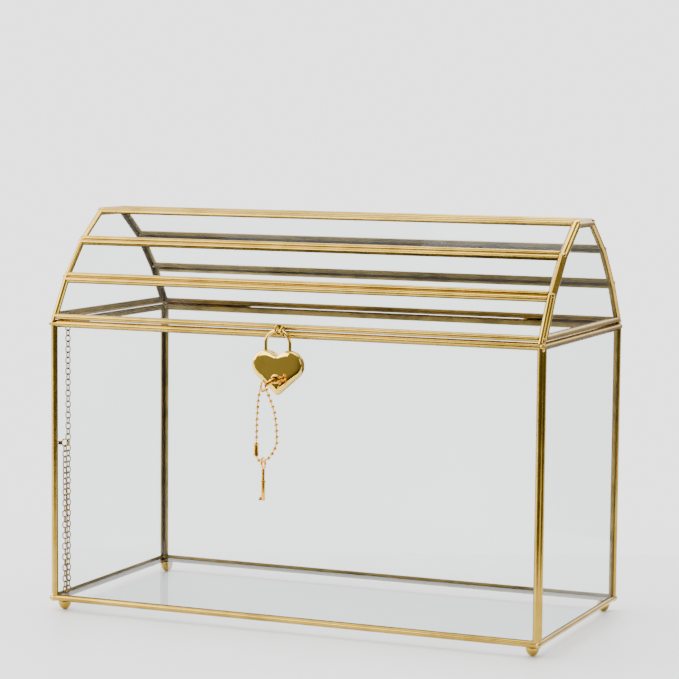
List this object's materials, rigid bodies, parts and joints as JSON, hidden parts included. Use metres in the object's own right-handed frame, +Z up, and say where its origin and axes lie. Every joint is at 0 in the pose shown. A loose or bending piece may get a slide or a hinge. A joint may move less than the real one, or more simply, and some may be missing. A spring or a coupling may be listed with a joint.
{
  "type": "wedding card box",
  "caption": "Glass chest with a brass angle frame, a hinged faceted lid with an open card slot, a stay chain, a heart padlock, keys and small feet.",
  "frame": {"origin": "centre of the overall plan box, on the plane of the feet's flat tips", "axes": "+X along the box to the right seen from the front, -Y out of the front face with the padlock, +Z up"},
  "size_m": [0.28, 0.1592, 0.2178],
  "materials": {
    "glass": "clear polished glass",
    "brass_frame": "brushed and lightly aged",
    "lock_gold": "mirror polished",
    "key_gold": "bright plated",
    "chain_gold": "bright plated, pale gold",
    "steel": "plain"
  },
  "bodies": {
    "chest": {"floor_glass": "glass", "front_glass": "glass", "back_glass": "glass", "left_glass": "glass", "right_glass": "glass", "post_front_left": "brass_frame", "post_front_right": "brass_frame", "post_back_left": "brass_frame", "post_back_right": "brass_frame", "base_rail_front": "brass_frame", "base_rail_back": "brass_frame", "base_rail_left": "brass_frame", "base_rail_right": "brass_frame", "rim_rail_front": "brass_frame", "rim_rail_back": "brass_frame", "rim_rail_left": "brass_frame", "rim_rail_right": "brass_frame", "feet": "brass_frame", "hinge_pins": "brass_frame", "hasp_eye_chest": "brass_frame", "stay_anchor_eye": "brass_frame"},
    "lid": {"roof_glass_front_low": "glass", "roof_glass_front_mid": "glass", "roof_glass_front_top": "glass", "roof_glass_back_low": "glass", "roof_glass_back_mid": "glass", "roof_glass_back_top": "glass", "end_glass_left": "glass", "end_glass_right": "glass", "lid_rim_front": "brass_frame", "lid_rim_back": "brass_frame", "knee_rail_front_low": "brass_frame", "knee_rail_front_high": "brass_frame", "knee_rail_back_low": "brass_frame", "knee_rail_back_high": "brass_frame", "top_rail_front": "brass_frame", "top_rail_back": "brass_frame", "end_frame_left": "brass_frame", "end_frame_right": "brass_frame", "hinge_barrels": "brass_frame", "hasp_eye_lid": "brass_frame", "stay_lid_eye": "brass_frame"},
    "shackle": {"shackle": "lock_gold"},
    "padlock": {"shackle_pivot": "steel", "lock_front_shell": "lock_gold", "lock_back_plate": "lock_gold", "keyhole_plate": "lock_gold", "latch_spring": "steel"},
    "latch": {"lock_latch": "steel"},
    "key": {"lock_key": "key_gold"},
    "bead_chain": {"bead_chain": "key_gold", "chain_connector": "key_gold"},
    "spare_key": {"spare_key": "key_gold"},
    "stay_top": {"stay_chain_top": "chain_gold"},
    "stay_foot": {"stay_chain_foot": "chain_gold"},
    "stay_mid": {"stay_chain_bend": "chain_gold", "stay_chain_mid": "chain_gold"}
  },
  "joints": [
    {"name": "lid_hinge", "type": "hinge", "parent": "chest", "child": "lid", "pos_m": [0, 0.07849, 0.1597], "axis": [-1, 0, 0], "range_deg": [0, 86.83]},
    {"name": "padlock_swing", "type": "hinge", "parent": "chest", "child": "shackle", "pos_m": [-0.0039, -0.05846, 0.1596], "axis": [-1, 0, 0], "range_deg": [0, 35]},
    {"name": "shackle_open", "type": "hinge", "parent": "shackle", "child": "padlock", "pos_m": [-0.01075, -0.05846, 0.14625], "axis": [0, 1, 0], "range_deg": [0, 36]},
    {"name": "key_turn", "type": "hinge", "parent": "padlock", "child": "key", "pos_m": [-0.0039, -0.06121, 0.13475], "axis": [0, -0.9903, -0.1392], "range_deg": [0, 90.5]},
    {"name": "latch_slide", "type": "slide", "parent": "padlock", "child": "latch", "axis": [1, 0, 0], "range_m": [0, 0.001], "deforming": ["latch_spring"]},
    {"name": "bead_chain_shift", "type": "slide", "parent": "padlock", "child": "bead_chain", "axis": [0.7071, -0.0984, 0.7002], "range_m": [0, 0.0039]},
    {"name": "spare_key_swing", "type": "hinge", "parent": "bead_chain", "child": "spare_key", "pos_m": [-0.0037, -0.07593, 0.0935], "axis": [0, 1, 0], "range_deg": [-20, 20]},
    {"name": "stay_top_swing", "type": "hinge", "parent": "lid", "child": "stay_top", "pos_m": [-0.1344, -0.04744, 0.15915], "axis": [1, 0, 0], "range_deg": [0, 55.37]},
    {"name": "stay_foot_swing", "type": "hinge", "parent": "chest", "child": "stay_foot", "pos_m": [-0.1344, -0.05086, 0.09015], "axis": [1, 0, 0], "range_deg": [0, 148.52]},
    {"name": "stay_mid_swing", "type": "hinge", "parent": "stay_foot", "child": "stay_mid", "pos_m": [-0.1344, -0.05086, 0.00961], "axis": [1, 0, 0], "range_deg": [-177.87, 0]}
  ],
  "couplings": [
    {"joint": "key_turn", "follows": "latch_slide", "rad_per_m": 1570.8},
    {"joint": "bead_chain_shift", "follows": "latch_slide", "ratio": 3.8891},
    {"joint": "stay_top_swing", "follows": "lid_hinge", "ratio": 0.63188},
    {"joint": "stay_foot_swing", "follows": "lid_hinge", "ratio": 1.7048},
    {"joint": "stay_mid_swing", "follows": "lid_hinge", "ratio": -2.0428}
  ]
}
